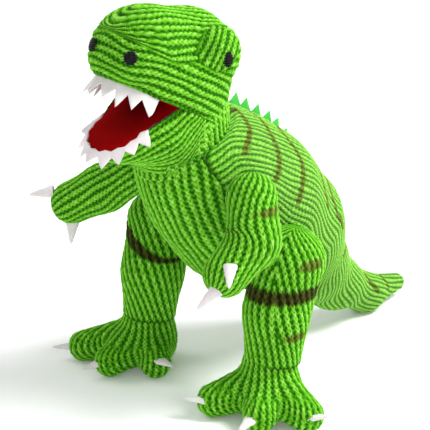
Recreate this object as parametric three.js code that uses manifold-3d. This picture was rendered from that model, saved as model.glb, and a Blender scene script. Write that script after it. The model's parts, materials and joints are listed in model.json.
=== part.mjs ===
// A knitted, stuffed tyrannosaur that stands on two feet and its tail.
// Millimetres, +Z up. The toy looks along -Y and its left side is +X.
// The origin is on the floor, under the middle of the toy.
import * as THREE from "three";
import { mergeVertices } from "three/addons/utils/BufferGeometryUtils.js";
import Module from "manifold-3d";

const wasm = await Module();
wasm.setup();

// ---------------------------------------------------------------- driving dimensions
const KNIT = 3; // thickness of the ribbed knit
const FELT = 1.6; // thickness of the felt
const FIT = 0.4; // gap between touching pieces
const SWING_GAP = 1.2; // gap between a limb and what it swings against
const SLACK = 1.8; // gap between a cover and its stuffing
const SEAM_WIDTH = 0.8; // gap between two knitted panels, where the seam lies

const NECK = [0, -30, 198]; // centre of the neck seam
const NECK_SLOPE = 24; // degrees the neck seam tips forward
const NECK_RING = [36, 38]; // half width and half length of the neck seam
const NECK_PLUG = 5; // thickness of the stuffing plug between head and body
const HEAD_TURN = -8; // degrees the head is turned about the neck at rest
const SEAM_BAND = { inset: 1, width: 3 }; // the ring of stitches at the rim of the neck
const TAIL_PIVOT = [0, 98, 78];
const TAIL_DOME = 41; // radius of the body's rounded end inside the tail
const HIP = [58, 14, 114]; // left hip; the right one mirrors it
const ANKLE = [62, -4, 24];
const ANKLE_DOME = 21; // radius of the foot's rounded top inside the leg
const SHOULDER = [52, -21, 168];
const CLAW_WIDTH = 9;
const PAD_RISE = 1.2; // how far eyes and nostrils stand out of the knit

// What each joint sweeps, in degrees from the rest pose.
const TRAVEL = {
  left_arm: [-45, 8],
  right_arm: [-30, 30],
  leg: [-12, 12],
  tail: [-15, 15],
};
const SWEEP_STEPS = 6;

// ---------------------------------------------------------------- soft shapes
const vec = (p) => new THREE.Vector3(...p);
const rad = THREE.MathUtils.degToRad;

// Distance to an ellipsoid with centre c and half sizes r.
const ball = (c, r) => {
  const [rx, ry, rz] = Array.isArray(r) ? r : [r, r, r];
  return (p) => {
    const [x, y, z] = [p.x - c[0], p.y - c[1], p.z - c[2]];
    const near = Math.hypot(x / rx, y / ry, z / rz);
    const slope = Math.hypot(x / rx ** 2, y / ry ** 2, z / rz ** 2);
    return slope < 1e-9 ? -Math.min(rx, ry, rz) : (near * (near - 1)) / slope;
  };
};

// Distance to a rod from a to b whose radius goes from ra to rb.
const rod = (a, ra, b, rb) => {
  const [start, along] = [vec(a), vec(b).sub(vec(a))];
  return (p) => {
    const from = p.clone().sub(start);
    const t = THREE.MathUtils.clamp(from.dot(along) / along.lengthSq(), 0, 1);
    return from.addScaledVector(along, -t).length() - (ra + t * (rb - ra));
  };
};

// Rods through a list of [point, radius].
const chain = (knots) => knots.slice(1).map((k, i) => rod(knots[i][0], knots[i][1], k[0], k[1]));

// Shapes run together as stuffing does, rounded by soft mm.
const blend = (shapes, soft) => (p) =>
  -soft * Math.log(shapes.reduce((sum, d) => sum + Math.exp(-d(p) / soft), 0));

// Distance below the plane through point with normal; outside is where the normal points.
const halfSpace = (point, normal) => {
  const [at, up] = [vec(point), vec(normal).normalize()];
  return (p) => p.clone().sub(at).dot(up);
};
const common = (...shapes) => (p) => Math.max(...shapes.map((d) => d(p)));

// How far along direction the surface of shape, moved out by grow, is from origin.
function reach(shape, origin, direction, grow, farthest = 160) {
  let [low, high] = [0, farthest];
  for (let i = 0; i < 26; i++) {
    const middle = (low + high) / 2;
    const inside = shape(origin.clone().addScaledVector(direction, middle)) < grow;
    [low, high] = inside ? [middle, high] : [low, middle];
  }
  return Math.max(low, 0.5);
}

// A closed surface found by rays from a spine: rings round it, and a fan of rays at each end.
function skinOf(shape, spinePoints, { rings, sides, fans, grow = 0, side = [1, 0, 0] }) {
  const spine = new THREE.CatmullRomCurve3(spinePoints.map(vec));
  const stations = [];
  const fan = Array.from({ length: fans }, (_, i) => (90 * (i + 1)) / (fans + 1));
  fan.forEach((lean) => stations.push([0, lean - 90]));
  for (let i = 0; i < rings; i++) {
    stations.push([i / (rings - 1), 0]);
  }
  fan.forEach((lean) => stations.push([1, lean]));
  const points = [];
  const cast = (t, lean, turn) => {
    const origin = spine.getPointAt(t);
    const along = spine.getTangentAt(t);
    const across = vec(side).addScaledVector(along, -vec(side).dot(along)).normalize();
    const over = along.clone().cross(across);
    const ray = across
      .multiplyScalar(Math.cos(lean) * Math.cos(turn))
      .addScaledVector(over, Math.cos(lean) * Math.sin(turn))
      .addScaledVector(along, Math.sin(lean));
    points.push(origin.clone().addScaledVector(ray, reach(shape, origin, ray, grow)));
  };
  cast(0, -Math.PI / 2, 0);
  for (const [t, lean] of stations) {
    for (let k = 0; k < sides; k++) {
      cast(t, rad(lean), (2 * Math.PI * k) / sides);
    }
  }
  cast(1, Math.PI / 2, 0);
  const faces = [];
  const at = (ring, k) => 1 + ring * sides + (k % sides);
  const last = points.length - 1;
  for (let k = 0; k < sides; k++) {
    faces.push(0, at(0, k + 1), at(0, k));
    faces.push(last, at(stations.length - 1, k), at(stations.length - 1, k + 1));
    for (let r = 0; r < stations.length - 1; r++) {
      faces.push(at(r, k), at(r, k + 1), at(r + 1, k + 1));
      faces.push(at(r, k), at(r + 1, k + 1), at(r + 1, k));
    }
  }
  return new THREE.BufferGeometry().setFromPoints(points).setIndex(faces);
}

// ---------------------------------------------------------------- solids
// A solid inside a closed surface, facing out whichever way its triangles run.
function solid(geometry) {
  const bare = geometry.clone();
  bare.deleteAttribute("normal");
  bare.deleteAttribute("uv");
  const merged = mergeVertices(bare, 1e-4);
  const vertProperties = merged.attributes.position.array;
  const build = (triVerts) => new wasm.Manifold(new wasm.Mesh({ numProp: 3, vertProperties, triVerts }));
  const body = build(new Uint32Array(merged.index.array));
  return body.volume() < 0 ? build(new Uint32Array(merged.index.array).reverse()) : body;
}

const box = (low, high) =>
  solid(
    new THREE.BoxGeometry(...high.map((h, i) => h - low[i])).translate(
      ...high.map((h, i) => (h + low[i]) / 2),
    ),
  );

// Everything on the side of a plane that its normal points away from.
function below(point, normal, size = 600) {
  const turn = new THREE.Quaternion().setFromUnitVectors(vec([0, 0, 1]), vec(normal).normalize());
  const slab = new THREE.BoxGeometry(size, size, size).translate(0, 0, -size / 2);
  return solid(slab.applyQuaternion(turn).translate(...point));
}

// An outline drawn in two axes and extruded along the third.
function slabOf(outline, depth, place) {
  const shape = new THREE.Shape(outline.map(([a, b]) => new THREE.Vector2(a, b)));
  const slab = new THREE.ExtrudeGeometry(shape, { depth, bevelEnabled: false });
  return solid(slab.applyMatrix4(place));
}
const seenFromFront = (y) => new THREE.Matrix4().makeRotationX(Math.PI / 2).setPosition(0, y, 0);
const seenFromSide = (x) =>
  new THREE.Matrix4().makeBasis(vec([0, 1, 0]), vec([0, 0, 1]), vec([1, 0, 0])).setPosition(x, 0, 0);

const moved = (body, matrix) => body.transform(matrix.elements);
const turnAbout = (pivot, axis, degrees) =>
  new THREE.Matrix4()
    .makeTranslation(...pivot)
    .multiply(new THREE.Matrix4().makeRotationAxis(vec(axis).normalize(), rad(degrees)))
    .multiply(new THREE.Matrix4().makeTranslation(...pivot.map((x) => -x)));

// All the places where still would be, seen from a piece that turns through travel.
function sweptPast(still, pivot, axis, [low, high]) {
  let all = still;
  for (let i = 0; i <= SWEEP_STEPS; i++) {
    const degrees = low + ((high - low) * i) / SWEEP_STEPS;
    all = all.add(moved(still, turnAbout(pivot, axis, -degrees)));
  }
  return all;
}

const biggest = (body) =>
  body.decompose().reduce((a, b) => (b.volume() > a.volume() ? b : a));

// ---------------------------------------------------------------- materials
const material = (color, roughness) => new THREE.MeshStandardMaterial({ color, roughness, metalness: 0 });
const GREEN_KNIT = material(0x4fae22, 0.95);
const GREEN_FELT = material(0x2fae4a, 0.95);
const WHITE_FELT = material(0xf2efee, 0.95);
const RED_FELT = material(0xb3060c, 0.9);
const BLACK_YARN = material(0x0b0a0b, 0.85);
const SEAM_YARN = material(0x3d9a1c, 0.95);
const FIBREFILL = material(0xf4f2ea, 1.0);

// ---------------------------------------------------------------- bodies
const toy = new THREE.Group();
const bodyGroup = (parent, pivot, from = [0, 0, 0]) => {
  const group = new THREE.Group();
  group.position.set(...pivot.map((x, i) => x - from[i]));
  group.userData.pivot = pivot;
  parent.add(group);
  return group;
};
const torso = bodyGroup(toy, [0, 0, 0]);

// Adds a solid, built round the toy's origin, to a body's group.
function part(group, name, body, look) {
  const kept = biggest(body);
  const mesh = kept.getMesh();
  const positions = new Float32Array(mesh.numVert * 3);
  for (let i = 0; i < mesh.numVert; i++) {
    for (let k = 0; k < 3; k++) {
      positions[3 * i + k] = mesh.vertProperties[i * mesh.numProp + k] - group.userData.pivot[k];
    }
  }
  const geometry = new THREE.BufferGeometry()
    .setAttribute("position", new THREE.BufferAttribute(positions, 3))
    .setIndex(new THREE.BufferAttribute(mesh.triVerts, 1));
  geometry.computeVertexNormals();
  const node = new THREE.Mesh(geometry, look);
  node.name = name;
  group.add(node);
  return kept;
}

// A knitted cover round a shape: a shell as thick as the knit.
const cover = (shape, spine, layout) =>
  solid(skinOf(shape, spine, layout)).subtract(
    solid(skinOf(shape, spine, { ...layout, grow: -KNIT })),
  );
const filling = (shape, spine, { rings, sides, fans }, detail = 0.6) => {
  const fewer = (n) => Math.ceil(n * detail);
  const coarse = { rings: fewer(rings), sides: fewer(sides), fans: fewer(fans) };
  return solid(skinOf(shape, spine, { ...coarse, grow: -KNIT - SLACK }));
};
const grown = (shape, spine, layout, grow) => solid(skinOf(shape, spine, { ...layout, grow }));

// ---------------------------------------------------------------- trunk: torso and tail
const NECK_NORMAL = [0, -Math.sin(rad(NECK_SLOPE)), Math.cos(rad(NECK_SLOPE))];
const onNeck = (offset) => NECK.map((x, i) => x + offset * NECK_NORMAL[i]);

const TRUNK = [
  [[0, -32, 200], 33],
  [[0, -16, 180], 40],
  [[0, 4, 161], 52],
  [[0, 35, 135], 59],
  [[0, 77, 106], 50],
  [[0, 110, 71], 33],
  [[0, 150, 40], 21],
  [[0, 196, 17], 14.5],
  [[0, 243, 13], 8],
];
const TRUNK_SPINE = TRUNK.slice(1).map(([p]) => p);
const TRUNK_LAYOUT = { rings: 14, sides: 24, fans: 2 };
const trunk = common(blend(chain(TRUNK), 5), halfSpace([0, 0, 0.3], [0, 0, -1]));

const belowNeck = below(onNeck(-NECK_PLUG / 2 - FIT), NECK_NORMAL);
const TAIL_AXIS = [0, 0.8, -0.6];
const tailSide = below(TAIL_PIVOT, TAIL_AXIS.map((x) => -x));
const bodySide = below(TAIL_PIVOT, TAIL_AXIS);
const dome = (radius) =>
  solid(new THREE.SphereGeometry(radius, 20, 14).rotateX(Math.PI / 2).translate(...TAIL_PIVOT));
const tailBall = dome(TAIL_DOME - KNIT - FIT);
const trunkCover = cover(trunk, TRUNK_SPINE, TRUNK_LAYOUT);
const trunkFilling = filling(trunk, TRUNK_SPINE, TRUNK_LAYOUT);

const tailKnit = trunkCover.intersect(tailSide).subtract(dome(TAIL_DOME));
const tailFilling = trunkFilling.intersect(tailSide).subtract(dome(TAIL_DOME));
const sweptTail = sweptPast(
  grown(trunk, TRUNK_SPINE, TRUNK_LAYOUT, SWING_GAP)
    .intersect(below(TAIL_PIVOT.map((x, i) => x - SWING_GAP * TAIL_AXIS[i]), TAIL_AXIS.map((x) => -x)))
    .subtract(dome(TAIL_DOME - FIT)),
  TAIL_PIVOT,
  [0, 0, 1],
  TRAVEL.tail,
);
const torsoCover = trunkCover.intersect(belowNeck).intersect(bodySide).subtract(sweptTail);
const torsoFilling = trunkFilling
  .intersect(belowNeck)
  .intersect(bodySide.add(tailBall))
  .subtract(sweptTail);

// The belly panel's edge seen from the front: from the throat, round the arms, to the crotch.
const BELLY_EDGE = [[30, 200], [40, 176], [47, 150], [49, 120], [42, 90], [24, 72], [0, 64]];
const bellyOutline = (ease) => {
  const left = BELLY_EDGE.map(([x, z]) => [Math.max(x + ease, 0), z - (x < 30 ? ease : 0)]);
  return [...left, ...left.slice(0, -1).reverse().map(([x, z]) => [-x, z])];
};
const frontOfHips = below([0, 22, 100], [0, 1, 0.25]);
const bellyRegion = (ease) =>
  slabOf(bellyOutline(ease), 200, seenFromFront(60)).intersect(frontOfHips);
part(torso, "belly_panel", torsoCover.intersect(bellyRegion(0)), GREEN_KNIT);
const sidePanels = torsoCover.subtract(bellyRegion(SEAM_WIDTH));
for (const [side, sign] of [["left", 1], ["right", -1]]) {
  const half = below([(sign * SEAM_WIDTH) / 2, 0, 0], [-sign, 0, 0]);
  part(torso, `side_panel_${side}`, sidePanels.intersect(half), GREEN_KNIT);
}
part(torso, "torso_stuffing", torsoFilling, FIBREFILL);

// Felt triangles that stand along the back seam.
const SPIKE = { first: 0.03, last: 0.4, count: 12, height: 8.5, root: 2 };
const backPoint = (t, out) => {
  const spine = new THREE.CatmullRomCurve3(TRUNK.map(([p]) => vec(p)));
  const origin = spine.getPointAt(t);
  const along = spine.getTangentAt(t);
  const up = new THREE.Vector3(0, -along.z, along.y);
  const p = origin.addScaledVector(up, reach(trunk, origin, up, 0) + out);
  return [p.y, p.z];
};
const spikeEdge = [];
const spikeRoot = [];
for (let i = 0; i <= 2 * SPIKE.count; i++) {
  const t = SPIKE.first + ((SPIKE.last - SPIKE.first) * i) / (2 * SPIKE.count);
  const tall = SPIKE.height * (1 - 0.6 * (i / (2 * SPIKE.count)));
  spikeEdge.push(backPoint(t, i % 2 ? tall : SPIKE.root));
  spikeRoot.unshift(backPoint(t, FIT));
}
const spikes = slabOf([...spikeEdge, ...spikeRoot], FELT, seenFromSide(-FELT / 2));
const clearOfBack = spikes.subtract(grown(trunk, TRUNK_SPINE, TRUNK_LAYOUT, FIT));
part(torso, "back_spikes", clearOfBack.subtract(sweptTail).intersect(belowNeck), GREEN_FELT);

const tail = bodyGroup(torso, TAIL_PIVOT);
part(tail, "tail_knit", tailKnit, GREEN_KNIT);
part(tail, "tail_stuffing", tailFilling, FIBREFILL);

// ---------------------------------------------------------------- neck
const neck = bodyGroup(torso, NECK);
const neckDisc = (radius, thickness, sides = 28) =>
  moved(
    solid(
      new THREE.CylinderGeometry(radius, radius, thickness, sides)
        .rotateX(Math.PI / 2)
        .scale(NECK_RING[0] / NECK_RING[1], 1, 1),
    ),
    turnAbout([0, 0, 0], [1, 0, 0], NECK_SLOPE).setPosition(...NECK),
  );
const plugSize = NECK_PLUG - 2 * FIT;
const bandOuter = NECK_RING[1] - SEAM_BAND.inset;
const bandInner = bandOuter - SEAM_BAND.width;
part(neck, "neck_stuffing", neckDisc(bandInner - FIT, plugSize), FIBREFILL);
const seamBand = neckDisc(bandOuter, plugSize).subtract(neckDisc(bandInner, 2 * NECK_PLUG));
part(neck, "neck_seam", seamBand, SEAM_YARN);

// ---------------------------------------------------------------- head and jaw
const FOLD = [0, -56, 229]; // the fold at the back of the mouth
const PALATE_UP = 26; // degrees the roof of the mouth rises to the front
const FLOOR_DOWN = 34; // degrees the floor of the mouth drops to the front
const HEAD = blend(
  [
    ball([0, -36, 249], [36, 38, 36]),
    ball([0, -24, 264], [27, 24, 22]),
    ball([0, -62, 268], [32, 32, 24]),
    ball([0, -73, 257], [27, 26, 19]),
    ball([17, -52, 236], [19, 27, 19]),
    ball([-17, -52, 236], [19, 27, 19]),
    ball([28, -22, 262], [14, 16, 17]),
    ball([-28, -22, 262], [14, 16, 17]),
    rod([0, -34, 238], 34, [0, -31, 196], 34),
  ],
  4,
);
const HEAD_SPINE = [[0, -32, 206], [0, -32, 226], [0, -38, 246], [0, -66, 262]];
const HEAD_LAYOUT = { rings: 8, sides: 24, fans: 3 };
const JAW = blend(
  [
    ball([0, -58, 209], [34, 24, 23]),
    ball([0, -80, 205], [25, 23, 16]),
    rod([0, -34, 226], 33, [0, -31, 196], 34),
  ],
  4,
);
const JAW_SPINE = [[0, -30, 212], [0, -56, 211], [0, -84, 206]];
const JAW_LAYOUT = { rings: 5, sides: 20, fans: 3 };

const palateNormal = [0, -Math.sin(rad(PALATE_UP)), -Math.cos(rad(PALATE_UP))];
const floorNormal = [0, -Math.sin(rad(FLOOR_DOWN)), Math.cos(rad(FLOOR_DOWN))];
const off = (point, normal, d) => point.map((x, i) => x + d * normal[i]);
const LINING = FELT + 2 * FIT;
const abovePalate = (d) => below(off(FOLD, palateNormal, -d), palateNormal);
const underFloor = (d) => below(off(FOLD, floorNormal, -d), floorNormal);
const aboveNeck = below(onNeck(NECK_PLUG / 2 + FIT), NECK_NORMAL.map((x) => -x));
const behindFold = below([0, FOLD[1] + SEAM_WIDTH / 2, 0], [0, -1, 0]);
const beforeFold = below([0, FOLD[1] - SEAM_WIDTH / 2, 0], [0, 1, 0]);

const turned = (body) => moved(body, turnAbout(NECK, NECK_NORMAL, HEAD_TURN));
const headRegion = (d) => behindFold.add(abovePalate(d)).intersect(aboveNeck);
const head = bodyGroup(neck, NECK, NECK);
const headPart = (group, name, body, look) => part(group, name, turned(body), look);

const headCover = cover(HEAD, HEAD_SPINE, HEAD_LAYOUT).intersect(headRegion(0));
const TOP_PANEL_EDGE = 275; // height of the crown panel's edge over the muzzle
const topRegion = (ease) => below([0, -60, TOP_PANEL_EDGE - ease], [0, 0.1, -1]);
const BROW_PANEL = { inner: 20, front: -40, bottom: 250 }; // the brow panels' inner corner
const browRegion = (ease) => {
  const { inner, front, bottom } = BROW_PANEL;
  const right = box([-70, front - ease, bottom - ease], [ease - inner, 20, 310]);
  return right.add(box([inner - ease, front - ease, bottom - ease], [70, 20, 310]));
};
const brows = headCover.intersect(browRegion(0));
const restOfHead = headCover.subtract(browRegion(SEAM_WIDTH));
headPart(head, "head_top_panel", restOfHead.intersect(topRegion(0)), GREEN_KNIT);
for (const [side, sign] of [["left", 1], ["right", -1]]) {
  const half = below([(sign * SEAM_WIDTH) / 2, 0, 0], [-sign, 0, 0]);
  headPart(head, `brow_${side}`, brows.intersect(half), GREEN_KNIT);
  const cheek = restOfHead.subtract(topRegion(SEAM_WIDTH)).intersect(half);
  headPart(head, `cheek_panel_${side}`, cheek, GREEN_KNIT);
}
const headFilling = filling(HEAD, HEAD_SPINE, HEAD_LAYOUT, 1).intersect(headRegion(LINING));
headPart(head, "head_stuffing", headFilling.intersect(aboveNeck), FIBREFILL);

// A felt sheet against the cut face of a shape, from the fold to just inside the knit.
const felt = (inner, normal) => {
  const near = below(off(FOLD, normal, -FIT), normal);
  const far = below(off(FOLD, normal, -FIT - FELT), normal.map((x) => -x));
  return inner.intersect(near).intersect(far).intersect(beforeFold);
};
const headInner = grown(HEAD, HEAD_SPINE, HEAD_LAYOUT, -KNIT - FIT);
headPart(head, "mouth_roof_lining", felt(headInner, palateNormal), RED_FELT);

const turnedPoint = (p) => vec(p).applyMatrix4(turnAbout(NECK, NECK_NORMAL, HEAD_TURN)).toArray();
const jaw = bodyGroup(head, turnedPoint(FOLD), NECK);
const jawRegion = (d) => beforeFold.intersect(underFloor(d)).intersect(aboveNeck);
const jawCover = cover(JAW, JAW_SPINE, JAW_LAYOUT);
headPart(jaw, "jaw_knit", jawCover.intersect(jawRegion(0)), GREEN_KNIT);
const jawFilling = filling(JAW, JAW_SPINE, JAW_LAYOUT, 1).intersect(jawRegion(LINING));
headPart(jaw, "jaw_stuffing", jawFilling, FIBREFILL);
const jawInner = grown(JAW, JAW_SPINE, JAW_LAYOUT, -KNIT - FIT);
headPart(jaw, "mouth_floor_lining", felt(jawInner, floorNormal), RED_FELT);

// A zigzag felt strip round a lip: rooted on the mouth's edge, flared outwards.
// Lengths are from the lip; spread and flare are in degrees.
const UPPER_TEETH = { count: 9, tip: 14, valley: 6, spread: 100, flare: 22, inset: -2 };
const LOWER_TEETH = { count: 11, tip: 9.5, valley: 3.5, spread: 100, flare: 115, inset: 0.8 };
const ROOT_GAP = 0.7; // between the lip and the strip
const MOUTH_CENTRE_Y = -74; // where the lips' curves are struck from
function teeth(shape, normal, { count, tip, valley, spread, flare, inset }) {
  const centre = vec([0, MOUTH_CENTRE_Y, 0]);
  centre.z = FOLD[2] + ((FOLD[1] - centre.y) * normal[1]) / normal[2];
  const forward = vec([0, -Math.abs(normal[2]), 0]);
  forward.z = -(forward.y * normal[1]) / normal[2];
  forward.normalize();
  const outline = [];
  for (let i = 0; i <= 2 * count; i++) {
    const turn = rad(-spread + (spread * i) / count);
    const ray = forward.clone().multiplyScalar(Math.cos(turn)).setX(Math.sin(turn)).normalize();
    const distance = reach(shape, centre, ray, inset);
    const root = centre.clone().addScaledVector(ray, distance);
    const lean = ray.clone().multiplyScalar(Math.sin(rad(flare)));
    lean.addScaledVector(vec(normal), Math.cos(rad(flare)));
    const length = i % 2 ? tip : valley;
    const start = root.clone().addScaledVector(lean, ROOT_GAP);
    const edge = start.clone().addScaledVector(lean, length);
    const outward = ray.clone().multiplyScalar(FELT);
    outline.push([start, edge, edge.clone().add(outward), start.clone().add(outward)]);
  }
  const faces = [];
  for (let i = 0; i < outline.length - 1; i++) {
    for (let k = 0; k < 4; k++) {
      const [a, b] = [4 * i + k, 4 * i + ((k + 1) % 4)];
      faces.push(a, b, b + 4, a, b + 4, a + 4);
    }
  }
  const end = 4 * (outline.length - 1);
  faces.push(0, 3, 2, 0, 2, 1, end, end + 1, end + 2, end, end + 2, end + 3);
  const strip = new THREE.BufferGeometry().setFromPoints(outline.flat()).setIndex(faces);
  return solid(strip).intersect(beforeFold);
}
headPart(head, "upper_teeth", teeth(HEAD, palateNormal, UPPER_TEETH), WHITE_FELT);
headPart(jaw, "lower_teeth", teeth(JAW, floorNormal, LOWER_TEETH), WHITE_FELT);

// Eyes and nostrils are pads of black yarn stitched over the knit: where a rod from a point
// inside the head towards one outside it comes through. Sizes are half widths and half heights.
const PADS = {
  eye_left: { from: [10, -20, 258], toward: [55, -30, 260], size: [4.5, 6] },
  eye_right: { from: [-10, -20, 258], toward: [-55, -30, 260], size: [4.5, 6] },
  nostril_left: { from: [13, -66, 262], toward: [32, -110, 266], size: [5, 5] },
  nostril_right: { from: [-4, -66, 262], toward: [-11, -110, 268], size: [5, 5] },
};
const headRisen = grown(HEAD, HEAD_SPINE, HEAD_LAYOUT, PAD_RISE);
const headClear = grown(HEAD, HEAD_SPINE, HEAD_LAYOUT, FIT);
function pad({ from, toward, size }) {
  const out = vec(toward).sub(vec(from)).normalize();
  const turn = new THREE.Quaternion().setFromUnitVectors(vec([0, 0, 1]), out);
  const disc = new THREE.CylinderGeometry(1, 1, 60, 14).rotateX(Math.PI / 2);
  disc.scale(size[0], size[1], 1).applyQuaternion(turn).translate(...toward);
  return solid(disc).intersect(headRisen).subtract(headClear);
}
for (const [name, place] of Object.entries(PADS)) {
  headPart(head, name, pad(place), BLACK_YARN);
}

// ---------------------------------------------------------------- limbs
// A felt claw: a flattened cone from base towards tip.
function claw(base, tip) {
  const [from, to] = [vec(base), vec(tip)];
  const length = from.distanceTo(to);
  const cone = new THREE.ConeGeometry(1, length, 10).translate(0, length / 2, 0);
  cone.scale(CLAW_WIDTH / 2, 1, CLAW_WIDTH / 4);
  const along = to.sub(from).normalize();
  const turn = new THREE.Quaternion().setFromUnitVectors(vec([0, 1, 0]), along);
  return solid(cone.applyQuaternion(turn).translate(...base));
}

const CREASE = FIT + SWING_GAP;
const torsoSolid = grown(trunk, TRUNK_SPINE, TRUNK_LAYOUT, SWING_GAP);
const aside = (p, sign) => [sign * p[0], p[1], p[2]];

// A sewn-on limb: the knit and its filling, cut clear of whatever it swings past.
function limb(parent, label, knots, pivot, spine, layout, cutters) {
  const group = bodyGroup(parent, pivot, parent.userData.pivot);
  const shape = blend(chain(knots), 4);
  const clear = (body) => cutters.reduce((b, cut) => cut(b), body);
  part(group, `${label}_knit`, clear(cover(shape, spine, layout)), GREEN_KNIT);
  part(group, `${label}_stuffing`, clear(filling(shape, spine, layout)), FIBREFILL);
  return { group, outer: grown(shape, spine, layout, FIT) };
}

const LIMB_LAYOUT = { rings: 6, sides: 14, fans: 2 };
const ARMS = {
  left: {
    knots: [[[62, -25, 166], 17], [[72, -33, 140], 15.5], [[66, -55, 120], 15]],
    claws: [
      [[76, -61, 130], [82, -69, 119]],
      [[69, -67, 113], [63, -79, 102]],
    ],
  },
  right: {
    knots: [[[-50, -27, 162], 16], [[-74, -34, 147], 16], [[-98, -46, 133], 16]],
    claws: [
      [[-108, -57, 142], [-122, -68, 139]],
      [[-94, -50, 118], [-91, -55, 104]],
    ],
  },
};
// The spine of a limb stops a little short of its last knot, so that the end is well rounded.
const spineOf = ([[a], [b], [c]]) => [a, b, vec(b).lerp(vec(c), 0.9).toArray()];
for (const [side, sign] of [["left", 1], ["right", -1]]) {
  const { knots, claws } = ARMS[side];
  const pivot = aside(SHOULDER, sign);
  const swept = sweptPast(torsoSolid, pivot, [1, 0, 0], TRAVEL[`${side}_arm`]);
  const { group, outer } = limb(torso, `${side}_arm`, knots, pivot, spineOf(knots), LIMB_LAYOUT, [
    (body) => biggest(body.subtract(swept)),
  ]);
  claws.forEach(([base, tip], i) => {
    const horn = biggest(claw(base, tip).subtract(outer));
    part(group, `${side}_arm_claw_${i + 1}`, horn, WHITE_FELT);
  });
}

const LEGS = {
  left: {
    knots: [[[65, 13, 112], 25], [[63, 2, 76], 21.5], [[64, -3, 36], 20]],
    toes: [[38, -36], [77, -31], [101, -9]],
    claws: [
      [[44, -41, 14], [29, -53, 17]],
      [[78, -38, 16], [78, -53, 10]],
      [[105, -16, 13], [118, -10, 18]],
    ],
  },
  right: {
    knots: [[[-66, 14, 112], 25], [[-60, 0, 76], 22], [[-60, -5, 36], 20]],
    toes: [[-101, -37], [-65, -42], [-38, -20]],
    claws: [
      [[-103, -42, 12], [-119, -52, 11]],
      [[-65, -46, 14], [-74, -60, 10]],
      [[-36, -24, 19], [-18, -24, 18]],
    ],
  },
};
const TOE = { radius: 11, height: 11.5 };
const HEEL = 15; // height of the middle of the heel
const ANKLE_CREASE = 36; // height of the ankle crease
const CREASE_DEPTH = 4; // how far the foot's edge tucks in under the crease
const LEG_LAYOUT = { rings: 6, sides: 16, fans: 2 };
const FOOT_LAYOUT = { rings: 2, sides: 30, fans: 4 };
for (const [side, sign] of [["left", 1], ["right", -1]]) {
  const { knots, toes, claws } = LEGS[side];
  const pivot = aside(HIP, sign);
  const ankle = aside(ANKLE, sign);
  const ankleBall = (radius) =>
    solid(new THREE.SphereGeometry(radius, 14, 10).rotateX(Math.PI / 2).translate(...ankle));
  const swept = sweptPast(torsoSolid, pivot, [1, 0, 0], TRAVEL.leg);
  const aboveCrease = below([0, 0, ANKLE_CREASE + CREASE], [0, 0, -1]);
  const leg = limb(torso, `${side}_leg`, knots, pivot, spineOf(knots), LEG_LAYOUT, [
    (body) => body.intersect(aboveCrease),
    (body) => body.subtract(ankleBall(ANKLE_DOME + FIT)),
    (body) => biggest(body.subtract(swept)),
  ]);

  const foot = bodyGroup(leg.group, ankle, pivot);
  const middle = [ankle[0], ankle[1], 18];
  const shape = common(
    blend(
      [
        rod([ankle[0], ankle[1], 34], 16, [ankle[0], ankle[1] + 2, HEEL], HEEL + 3),
        ...toes.map(([x, y]) => rod(middle, 17, [x, y, TOE.height], TOE.radius)),
      ],
      3,
    ),
    halfSpace([0, 0, 0], [0, 0, -1]),
  );
  const footSpine = [[ankle[0], ankle[1] - 2, 13], [ankle[0], ankle[1], 22]];
  const under = (height) => below([0, 0, height], [0, 0, 1]);
  const roundedTop = under(ANKLE_CREASE).intersect(ankleBall(ANKLE_DOME));
  const footRegion = roundedTop.add(under(ANKLE_CREASE - CREASE_DEPTH));
  const shaped = (body) => biggest(body.intersect(footRegion));
  part(foot, `${side}_foot_knit`, shaped(cover(shape, footSpine, FOOT_LAYOUT)), GREEN_KNIT);
  part(foot, `${side}_foot_stuffing`, shaped(filling(shape, footSpine, FOOT_LAYOUT, 1)), FIBREFILL);
  const outer = grown(shape, footSpine, FOOT_LAYOUT, FIT);
  claws.forEach(([base, tip], i) => {
    const horn = claw(base, tip).subtract(outer);
    part(foot, `${side}_foot_claw_${i + 1}`, biggest(horn), WHITE_FELT);
  });
}

// ---------------------------------------------------------------- onto the floor's origin
const bounds = new THREE.Box3().setFromObject(toy);
const centre = bounds.getCenter(new THREE.Vector3());
toy.position.set(-centre.x, -centre.y, -bounds.min.z);

export default toy;
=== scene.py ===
"""A rib-knit stuffed tyrannosaur with felt teeth, claws, spikes and mouth lining."""
import json
import math

import bpy
import numpy as np
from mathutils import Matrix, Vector


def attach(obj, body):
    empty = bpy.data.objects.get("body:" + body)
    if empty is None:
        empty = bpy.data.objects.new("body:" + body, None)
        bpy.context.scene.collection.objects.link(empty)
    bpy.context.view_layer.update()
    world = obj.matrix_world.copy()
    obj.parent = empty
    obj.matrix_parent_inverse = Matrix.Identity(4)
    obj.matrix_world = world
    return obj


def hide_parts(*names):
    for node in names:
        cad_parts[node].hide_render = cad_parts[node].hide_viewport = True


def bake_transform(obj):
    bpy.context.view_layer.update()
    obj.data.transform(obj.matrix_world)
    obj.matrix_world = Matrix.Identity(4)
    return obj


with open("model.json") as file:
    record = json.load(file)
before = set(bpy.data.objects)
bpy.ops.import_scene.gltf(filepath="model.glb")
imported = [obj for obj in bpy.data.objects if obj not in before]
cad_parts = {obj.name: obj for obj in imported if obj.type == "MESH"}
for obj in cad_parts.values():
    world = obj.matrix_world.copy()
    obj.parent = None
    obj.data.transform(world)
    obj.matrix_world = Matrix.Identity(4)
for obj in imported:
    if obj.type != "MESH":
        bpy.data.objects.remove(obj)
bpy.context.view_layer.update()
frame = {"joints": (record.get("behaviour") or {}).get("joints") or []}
rng = np.random.default_rng(7)
JOINTS = {j["name"]: j for j in frame["joints"]}


def pivot(joint):
    """Where a joint is, in millimetres in the row frame."""
    return np.array(JOINTS[joint]["pos_m"]) * 1000


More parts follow.
